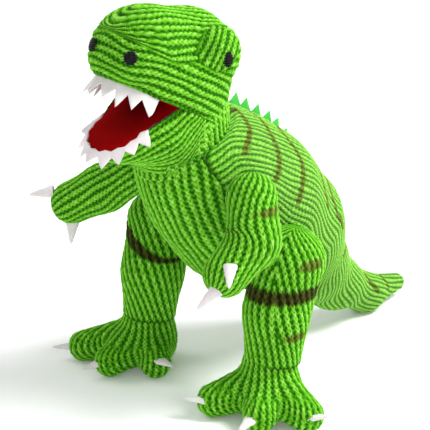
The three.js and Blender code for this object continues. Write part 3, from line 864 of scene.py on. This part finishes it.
def limit(shape, origins, a, b, outside, start, end):
    """For each row, the angle in degrees from start towards end at which its rays first meet outside."""
    angles = np.linspace(start, end, 201)
    turn = np.radians(angles)[None, :, None]
    rays = np.cos(turn) * a[:, None] + np.sin(turn) * b[:, None]
    out = outside(surface_points(shape, origins[:, None], rays)) > 0
    found = angles[np.where(out.any(1), np.argmax(out, axis=1), len(angles) - 1)]
    return np.convolve(np.pad(found, 3, mode="edge"), np.ones(7) / 7, "valid")


def both_sides(rows, count):
    """Origins, outward and upward directions of half planes that go round from left to right."""
    rows = rows + [(o, (-a[0], a[1], a[2]), u) for o, a, u in rows[-2::-1]]
    places = np.linspace(0, len(rows) - 1, count)
    origins, out, up = (spline([r[k] for r in rows], places) for k in range(3))
    return origins, unit(out), unit(up)


def cheeks():
    """The panel round the face: its ribs run along the lip from the back of the head to the nose."""
    rows = [
        ((0, -14, 232), (0, 1, 0), (0, 0.1, 1)),
        ((0, -16, 232), (0.7, 0.7, 0), (0, 0.2, 0.98)),
        ((0, -20, 233), (1, 0.15, 0), (0, 0.38, 0.92)),
        ((0, -28, 235), (1, 0, 0), (0, 0.44, 0.9)),
        ((0, -38, 239), (1, 0, 0), (0, 0.44, 0.9)),
        ((0, -48, 243), (1, 0, 0), (0, 0.42, 0.91)),
        ((0, -57, 248), (1, -0.02, 0), (0, 0.32, 0.95)),
        ((0, -63, 251), (1, -0.2, 0), (0, 0.18, 0.98)),
        ((0, -66, 254), (0.85, -0.5, 0), (0, 0.06, 1)),
        ((0, -67, 255), (0.55, -0.84, 0), (0, 0, 1)),
        ((0, -67, 255), (0, -1, 0), (0, 0, 1)),
    ]
    origins, out, up = both_sides(rows, 150)
    low = limit(head_top, origins, out, up, below_cheek, 12, -89)
    high = limit(head_top, origins, out, up, above_muzzle_seam, -10, 80)
    points = fan(head_top, origins, out, up, up, 0, low, np.maximum(high, low + 4), count=80)
    return knit("cheeks", head_turned(points), 5.2, 3.8, edges=(0, 0, 0.7, 1.3))


def crown():
    """The panel over the top and down the back of the head, with ribs that follow its side edges."""
    rows = [
        (-22, 238, 1, 0.1),
        (-26, 242, 0.8, 0.6),
        (-33, 247, 0.4, 0.92),
        (-44, 252, 0.1, 1),
        (-55, 255, -0.1, 1),
        (-64, 258, -0.35, 0.94),
        (-68, 259, -0.65, 0.76),
        (-70, 260, -0.85, 0.53),
    ]
    origins, up = section_rows(rows, 90)
    side = np.broadcast_to(X, up.shape)
    high = limit(head_top, origins, up, side, lambda p: -above_muzzle_seam(p) - 2.5, 0, 112)
    points = fan(head_top, origins, up, X, X, 0, -high, high, count=121)
    points = points - 0.7 * unit(points - origins[:, None])
    guide = fan(ball((0, -46, 252), (39, 52, 38)), origins, up, X, X, 0, -high, high, count=121)
    return knit("crown", head_turned(points), 5.4, 3.9, anchor="edges", edges=(0, 0, 0.6, 0.6), guide=guide)


cheek = cheeks()
top = crown()
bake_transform(cheek)
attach(top, "head")
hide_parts("cheek_panel_left", "cheek_panel_right")
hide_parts("head_top_panel")

JAW = blended(
    [
        ball((0, -58, 209), (34, 24, 23)),
        ball((0, -80, 205), (25, 23, 16)),
        ball((0, -48, 225), (34, 22, 13)),
        rod((0, -34, 226), 33, (0, -31, 196), 34),
    ],
    4,
)


def jaw():
    """The lower jaw and throat: the ribs follow the lip and run back to the neck seam."""
    rows = [
        ((0, -24, 214), (1, 0, 0), (0, 0.44, 0.9)),
        ((0, -32, 214), (1, 0, 0), (0, 0.36, 0.93)),
        ((0, -40, 213), (1, 0, 0), (0, 0.2, 0.98)),
        ((0, -48, 212), (1, 0, 0), (0, 0.02, 1)),
        ((0, -56, 211), (1, 0, 0), (0, -0.16, 0.99)),
        ((0, -63, 209), (1, -0.1, 0), (0, -0.26, 0.97)),
        ((0, -69, 207), (0.93, -0.36, 0), (0, -0.2, 0.98)),
        ((0, -72, 206), (0.6, -0.8, 0), (0, -0.1, 1)),
        ((0, -73, 206), (0, -1, 0), (0, 0, 1)),
    ]
    origins, out, up = both_sides(rows, 120)
    high = limit(JAW, origins, out, up, above_floor, -60, 60)
    low = np.maximum(limit(JAW, origins, out, up, below_neck, 0, -89), -89)
    low = np.where(origins[:, 1] < -62, -89, np.minimum(low, high - 3))
    points = fan(JAW, origins, out, up, up, 0, low, high, count=70)
    behind_fold = smoothstep(FOLD[1] - 2, FOLD[1] + 6, points[..., 1])
    under_cheek = smoothstep(-1, 3, -below_palate(points)) * behind_fold
    points = points - (2.6 * under_cheek)[..., None] * unit(points - origins[:, None])
    return knit("jaw", head_turned(points), 5.2, 3.7, anchor="high", edges=(0, 0, 0, 0.7))


lower = jaw()
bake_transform(lower)
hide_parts("jaw_knit")


def brow(side, sign):
    """The patch on the outside of a brow, its ribs running down and forwards."""
    centre = np.array([sign * 18.0, -23, 262])
    out = unit((sign * 0.93, -0.3, 0.2))
    down = np.array([0, -0.47, -0.88])
    down = unit(down - out * (down @ out))
    across = np.cross(out, down)
    u = np.linspace(-1, 1, 40)
    half = 15 * np.sqrt(np.clip(1 - np.abs(u) ** 2.6, 0.03, 1))
    v = np.linspace(-1, 1, 61)
    starts = centre + (16 * u)[:, None, None] * down + (half[:, None] * v)[..., None] * across
    points = surface_points(head_top, starts, np.broadcast_to(out, starts.shape), above=0.7)
    return knit(f"brow_cover_{side}", head_turned(points), 4.6, 3.3, anchor="middle", edges=(1.8,) * 4)


for side, sign in (("left", 1), ("right", -1)):
    piece = brow(side, sign)
    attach(piece, "head")
    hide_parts(f"brow_{side}")


# ---------------------------------------------------------------- limbs
CAMERA_SIDE = np.array([0.68, -0.73, 0.0])
STITCH_PER_PITCH = 0.73


def limb_rows(spine, closed_end):
    """Origins, directions and leans for rings round a spine with rounded ends."""
    line = spline(spine, np.linspace(0, len(spine) - 1, 34))
    along = unit(np.gradient(line, axis=0))
    first = np.linspace(-86, -12, 8)
    last = np.linspace(12, 86, 8) if closed_end else np.zeros(0)
    lean = np.concatenate([first, np.zeros(len(line)), last])
    origins, along = (
        np.concatenate([np.repeat(rows[:1], len(first), 0), rows, np.repeat(rows[-1:], len(last), 0)])
        for rows in (line, along)
    )
    return origins, along, lean


def spiral(rise):
    """A slant that turns ribs round a limb by rise mm per mm along it."""
    return lambda across, along: across + rise * along


def chevron(rise, end, circumference, apex, turn):
    """A slant that makes ribs meet in points at the apex, down to a distance from the limb's start.

    Below that the ribs turn round the limb.
    """

    def slant(across, along):
        shifted = across + apex + turn * np.maximum(along - end, 0)
        from_apex = np.abs((shifted / circumference + 0.5) % 1 - 0.5) * circumference
        return from_apex - rise * end * np.tanh(along / end)

    return slant


def limb(name, knots, spine, pitch, count, closed_end=True, **how):
    """A knitted tube round a spine, with its first rib on the camera's side."""
    shape = blended(chain(knots), 4)
    origins, along, lean = limb_rows(spine, closed_end)
    a = unit(CAMERA_SIDE - along * (along @ CAMERA_SIDE)[:, None])
    points = fan(shape, origins, a, np.cross(along, a), along, lean, 0, 360, count=91)
    return knit(name, points, pitch, STITCH_PER_PITCH * pitch, anchor="around", count=count, **how)


def brown_patch(shade, grid, centre, size, fray):
    """A ragged brown patch."""
    near = np.linalg.norm((grid - centre) / np.array(size, float), axis=-1) + 0.1 * fray
    shade["brown"] = np.maximum(shade["brown"], 0.9 * (1 - smoothstep(0.8, 1.15, near)))


# Knots are (centre, radius) along a limb, and claws are (base, tip).
ARMS = {
    "left": {
        "knots": [((62, -25, 166), 17), ((72, -33, 140), 15.5), ((66, -55, 120), 15)],
        "claws": [((76, -61, 130), (82, -69, 119)), ((69, -67, 113), (63, -79, 102))],
        "patch": ((82, -27, 160.5), (10, 13, 2.8)),
        "slant": lambda across, along: across + 0.5 * np.hypot(along - 50, 15),
    },
    "right": {
        "knots": [((-50, -27, 162), 16), ((-74, -34, 147), 16), ((-98, -46, 133), 16)],
        "claws": [((-108, -57, 142), (-122, -68, 139)), ((-94, -50, 118), (-91, -55, 104))],
        "patch": None,
        "slant": spiral(0.1),
    },
}
LEGS = {
    "left": {
        "knots": [((65, 13, 112), 25), ((63, 2, 76), 21.5), ((64, -3, 39), 20)],
        "toes": [(38, -36), (77, -31), (101, -9)],
        "claws": [
            ((44, -41, 14), (29, -53, 17)),
            ((78, -38, 16), (78, -53, 10)),
            ((105, -16, 13), (118, -10, 18)),
        ],
    },
    "right": {
        "knots": [((-66, 14, 112), 25), ((-60, 0, 76), 22), ((-60, -5, 39), 20)],
        "toes": [(-101, -37), (-65, -42), (-38, -20)],
        "claws": [
            ((-103, -42, 12), (-119, -52, 11)),
            ((-65, -46, 14), (-74, -60, 10)),
            ((-36, -24, 19), (-18, -24, 18)),
        ],
    },
}


def claw(name, base, tip, out, wide=4.0, deep=2.0, tuck=0.0):
    """A felt cone, rolled and pressed flat, with a soft point.

    wide and deep are half its width and thickness at the root, which tuck makes narrower.
    """
    base, tip = np.array(base, float), np.array(tip, float)
    length = np.linalg.norm(tip - base)
    along = unit(tip - base)
    side = unit(np.cross(along, out))
    up = np.cross(side, along)
    point = 0.9 + 0.1 * np.sin(np.linspace(0, np.pi / 2, 8))[1:]
    t = np.concatenate([np.linspace(-0.08, 0.9, 26), point])
    a = np.linspace(0, 2 * np.pi, 29)
    inside = np.clip(t, 0, 1)
    taper = 1 - inside
    root = 1 - tuck * smoothstep(0.3, -0.08, t)
    blunt = np.clip((1 - t) * 14, 0.05, 1) ** 0.5
    width = root * (0.7 + wide * taper**0.9) * (1 + 0.04 * np.sin(t * 19)) * blunt
    thick = root * (0.6 + deep * taper) * blunt
    centre = base + np.outer(t * length, along) + np.outer(-1.2 * inside**2, up)
    fibre = 1 + 0.05 * rng.standard_normal((len(t), len(a)))
    fibre[:, -1] = fibre[:, 0]
    sideways = (np.cos(a) * width[:, None] * fibre)[..., None] * side
    upwards = (np.sin(a) * thick[:, None] * fibre)[..., None] * up
    return grid_mesh(name, centre[:, None] + sideways + upwards, {}, "white_felt", closed=True, flip=True)


for side in ("left", "right"):
    arm = ARMS[side]
    knots = arm["knots"]
    shoulder, elbow, hand = (np.array(knot[0]) for knot in knots)

    def paint_arm(shade, grid, fray, patch=arm["patch"]):
        if patch:
            brown_patch(shade, grid, *patch, fray)

    spine = [shoulder, elbow, 0.1 * elbow + 0.9 * hand]
    piece = limb(f"{side}_arm", knots, spine, 5.3, 19, paint=paint_arm, slant=arm["slant"])
    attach(piece, f"{side}_arm")
    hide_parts(f"{side}_arm_knit")
    for i, (base, tip) in enumerate(arm["claws"]):
        horn = claw(f"{side}_arm_horn_{i + 1}", base, tip, CAMERA_SIDE + 0.4 * Z)
        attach(horn, f"{side}_arm")
        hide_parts(f"{side}_arm_claw_{i + 1}")


def paint_left_leg(shade, grid, fray):
    z = grid[..., 2] + 0.55 * fray
    shade["black"] = smoothstep(87, 89.5, z) * (1 - smoothstep(97, 99.5, z)) * 0.96
    brown_patch(shade, grid, (90, 8, 115), (8, 11, 4), fray)
    brown_patch(shade, grid, (86, -3, 64), (8, 12, 3.4), fray)


def paint_right_leg(shade, grid, fray):
    inward = -grid[..., 0]
    level = grid[..., 2] + 0.3 * fray - 0.45 * (inward - 57) - 98
    half = np.interp(inward, (36, 48, 66), (1.5, 3, 5))
    band = 1 - smoothstep(half - 1, half + 1, np.abs(level))
    shade["black"] = band * smoothstep(30, 36, inward) * 0.96


RIB, RIBS = 5.6, 25
LEGS["left"].update(paint=paint_left_leg, slant=chevron(0.8, 50, RIB * RIBS, -10, 0.3))
LEGS["right"].update(paint=paint_right_leg, slant=spiral(0.5))
TOE_RADIUS, TOE_HEIGHT = 12, 12


def foot_points(ankle, toes):
    """Rings of surface points from the ankle down to the sole."""
    x, y, _ = ankle
    heel = rod((x, y, 38), 18.8, (x, y + 2, 16), 19.6)
    toes = [rod((x, y, 22), 18, (*toe, TOE_HEIGHT), TOE_RADIUS) for toe in toes]
    shape = clipped(blended([heel] + toes, 2.5), (np.array([0, 0, 0.3]), -Z))
    lean = np.linspace(82, -86, 70)
    height = np.interp(lean, (-86, 0, 60), (10, 14, 24))
    origins = np.stack([np.full(70, x), np.full(70, y - 2), height], axis=1)
    return fan(shape, origins, CAMERA_SIDE, np.cross(Z, CAMERA_SIDE), Z, lean, 0, 360, count=241)


for side, leg in LEGS.items():
    knots = leg["knots"]
    spine = [k[0] for k in knots]
    how = {"paint": leg["paint"], "slant": leg["slant"], "edges": (0, 1.6, 0, 0)}
    piece = limb(f"{side}_leg", knots, spine, RIB, RIBS, closed_end=False, **how)
    place = pivot(f"{side}_ankle")
    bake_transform(piece)
    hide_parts(f"{side}_leg_knit")

    points = foot_points(place - SHIFT, leg["toes"])
    foot = knit(f"{side}_foot", points, RIB, 4.0, anchor="around", count=RIBS)
    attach(foot, f"{side}_foot")
    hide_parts(f"{side}_foot_knit")
    for i, ((base, tip), toe) in enumerate(zip(leg["claws"], leg["toes"])):
        root = 0.6 * np.array(base) + 0.4 * np.array((*toe, TOE_HEIGHT))
        point = 1.15 * np.array(tip) - 0.15 * np.array(base)
        horn = claw(f"{side}_foot_horn_{i + 1}", root, point, Z, wide=6.2, deep=2.8, tuck=0.5)
        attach(horn, f"{side}_foot")
        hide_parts(f"{side}_foot_claw_{i + 1}")


# ---------------------------------------------------------------- neck
def throat(start=-10, length=35):
    """The knitted collar behind the jaw, the cheeks and the neck seam, from start along the neck."""
    rows = np.linspace(0, 1, 24)
    origins = NECK + np.outer(start + length * rows, NECK_NORMAL) + np.outer(rows, (0, -4, 0))
    shape = rod((0, -34, 238), 33.4, (0, -26.5, 180), 35)
    points = fan(shape, origins, NECK_FRONT, X, NECK_NORMAL, 0, 0, 360, count=121)
    return knit("throat", head_turned(points), 5.0, 3.5, anchor="around", count=40)


collar = throat()
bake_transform(collar)


def neck_stitching():
    """A row of slanting yarn stitches round the neck."""
    stitches = 40
    turn = np.linspace(0, 2 * np.pi, stitches * 10 + 1)[:-1]
    ray = np.cos(turn)[:, None] * NECK_FRONT + np.sin(turn)[:, None] * X
    radius = 35.8 + 0.4 * np.cos(turn * stitches)
    path = NECK + ray * radius[:, None] + np.outer(0.4 + 0.8 * np.sin(turn * stitches), NECK_NORMAL)
    return tube("neck_stitching", path, 0.8, "seam_yarn", twist=3.0, bump=0.12, closed=True)


seam = neck_stitching()
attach(seam, "neck")
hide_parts("neck_seam")


# ---------------------------------------------------------------- mouth and teeth
def in_plane(normal, turn):
    """A ray from the fold that lies in a plane of the mouth, turn radians from straight ahead."""
    forward = np.array([0, -abs(normal[2]), 0])
    forward[2] = -forward[1] * normal[1] / normal[2]
    forward = unit(forward)
    return np.multiply.outer(np.cos(turn), forward) + np.multiply.outer(np.sin(turn), X)


def lining():
    """One round of felt, folded across at the back of the mouth."""
    turn = np.radians(np.linspace(-90, 90, 61))
    share = np.linspace(0.02, 1, 40)
    halves = []
    for shape, normal, inset in ((HEAD, palate_normal, 2.4), (JAW, floor_normal, 1.6)):
        rays = in_plane(normal, turn)
        edge = reach(shape, FOLD, rays) - inset
        points = FOLD + rays[None] * (edge * share[:, None])[..., None]
        sag = 1.1 * np.sin(np.pi * share)[:, None] * np.cos(turn) ** 2
        ripple = 0.25 * np.sin(9 * turn) * share[:, None] * np.cos(turn)
        halves.append(points + (sag + ripple)[..., None] * normal)
    upper, under = halves
    grid = np.concatenate([upper, under[:, -2:0:-1], upper[:, :1]], axis=1)
    below = np.arange(grid.shape[1]) >= len(turn)
    # Painted shade deep in the mouth: darkest at the fold, reaching further along the floor than along the roof.
    deep = np.clip(1.15 - share[:, None] * np.where(below, 1.15, 1.9), 0, 1)
    return grid_mesh("mouth_lining", head_turned(grid), {"deep": deep}, "red_felt", closed=True)


mouth = lining()
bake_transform(mouth)
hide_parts("mouth_roof_lining", "mouth_floor_lining")


def teeth(name, shape, normal, count, tip, valley, flare, inset, wild, end):
    """A felt strip cut in count points and sewn along a lip, inset from it.

    tip and valley are its heights, flare and wild the degrees that it leans and how that varies, and
    end the degrees round the lip from the nose at which it ends.
    """
    centre = np.array([0, -74.0, 0])
    centre[2] = FOLD[2] + (FOLD[1] - centre[1]) * normal[1] / normal[2]
    turn = np.radians(np.linspace(-100, 100, count * 14 + 1))
    rays = in_plane(normal, turn)
    far = reach(shape, centre, rays) + inset
    root = centre + rays * np.convolve(np.pad(far, 12, mode="edge"), np.ones(25) / 25, "valid")[:, None]
    phase = np.linspace(0, count, len(turn))
    saw = 1 - np.abs(2 * (phase % 1) - 1)
    length = valley + (tip - valley) * saw * (1 + 0.12 * np.sin(np.floor(phase) * 2.3))
    length = length * (0.05 + 0.95 * smoothstep(end, end - 7, np.degrees(np.abs(turn))))
    angle = np.radians(flare + wild * np.sin(np.floor(phase) * 1.9 + 1))
    down = np.cos(angle)[:, None] * normal + np.sin(angle)[:, None] * rays
    out = unit(np.cross(np.gradient(root, axis=0), down))
    ring = felt_strip(root, down, out, length, 1.2 * np.sin(phase * 2.1), -0.2, 0.6, 9)
    return strip_mesh(name, head_turned(ring[np.abs(turn) < math.radians(end)]), "white_felt")


bite = teeth("upper_tooth_strip", HEAD, palate_normal, 9, 14.5, 4.5, 20, -1.4, 4, 99)
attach(bite, "head")
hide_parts("upper_teeth")
bite = teeth("lower_tooth_strip", JAW, floor_normal, 11, 10, 3, 112, -0.6, 6, 86)
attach(bite, "jaw")
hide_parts("lower_teeth")


# ---------------------------------------------------------------- eyes and nostrils
def stitched_pad(name, start, toward, size, rows):
    """Side-by-side satin stitches of black yarn that cover a small oval of knit."""
    start, toward = np.array(start, float), np.array(toward, float)
    axis = unit(toward - start)
    side = unit(np.cross(axis, Z))
    up = np.cross(side, axis)
    strands = []
    for k in range(rows):
        f = (k + 0.5) / rows * 2 - 1
        half = size[0] * math.sqrt(max(1 - f * f, 0.02)) * (1 + 0.06 * math.sin(k * 2.7))
        s = np.linspace(-1, 1, 13)
        local = np.outer(s * half, side) + f * size[1] * up
        rays = np.broadcast_to(axis, local.shape)
        skin = surface_points(head_top, start + local, rays)
        rise = 0.5 + 1.5 * np.sqrt(np.clip(1 - s**4, 0, 1)) * (1 - 0.35 * f * f)
        path = skin + rays * rise[:, None]
        thick = size[1] / rows * 1.15
        strands.append(tube(f"strand_{k}", head_turned(path), thick, "black_yarn", twist=4, bump=0.1))
    return joined(name, strands)


# Where each pad's middle stitch points from and to, its half width and height, and its stitches.
PADS = {
    "eye_left": ((18, -23, 260), (55, -27, 260), (3.2, 5), 6),
    "eye_right": ((-18, -23, 260), (-55, -27, 260), (3.2, 5), 6),
    "nostril_left": ((13, -66, 262), (32, -110, 266), (4.2, 4.2), 6),
    "nostril_right": ((-3, -66, 263), (-8, -110, 270), (4.2, 4.2), 6),
}
for pad, layout in PADS.items():
    piece = stitched_pad(f"{pad}_stitches", *layout)
    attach(piece, "head")
    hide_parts(pad)


# ---------------------------------------------------------------- back spikes
def spikes(count=10, spacing=13.2):
    """A strip of felt cut in points and caught in the back seam."""
    origins, back = section_rows(SECTIONS, 400)
    surface = surface_points(trunk, origins, back)
    behind = surface[:, 1] > 6
    surface, back = surface[behind], back[behind]
    length = run(surface)
    at = np.linspace(2, 2 + count * spacing, 264)
    base = np.stack([np.interp(at, length, surface[:, k]) for k in range(3)], axis=1)
    up = unit(np.stack([np.interp(at, length, back[:, k]) for k in range(3)], axis=1))
    phase = (at - 2) / spacing
    saw = 1 - np.abs(2 * (phase % 1) - 1)
    tall = 1.5 + saw**1.1 * np.interp(at, (0, 70, 134), (8.5, 8, 4))
    bend = 0.7 * np.sin(np.floor(phase) * 2.1)
    ring = felt_strip(base, up, np.broadcast_to(X, base.shape), tall, bend, -0.4, 0.65, 8)
    return strip_mesh("back_spike_strip", ring, "green_felt")


crest = spikes()
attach(crest, "torso")
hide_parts("back_spikes")


# ---------------------------------------------------------------- stuffing
LIMBS = [f"{side}_{part}" for part in ("arm", "leg", "foot") for side in ("left", "right")]
for place in ["torso", "tail", "neck", "head", "jaw"] + LIMBS:
    wad = bpy.data.objects[f"{place}_stuffing"]
    wad.data.materials.clear()
    wad.data.materials.append(LOOKS["fibrefill"])


# ---------------------------------------------------------------- floor
def make_floor(half=12):
    mesh = bpy.data.meshes.new("floor")
    corners = [(-half, -half, 0), (half, -half, 0), (half, half, 0), (-half, half, 0)]
    mesh.from_pydata(corners, [], [(0, 1, 2, 3)])
    floor = bpy.data.objects.new("floor", mesh)
    bpy.context.scene.collection.objects.link(floor)
    mesh.materials.append(floor_material())


make_floor()
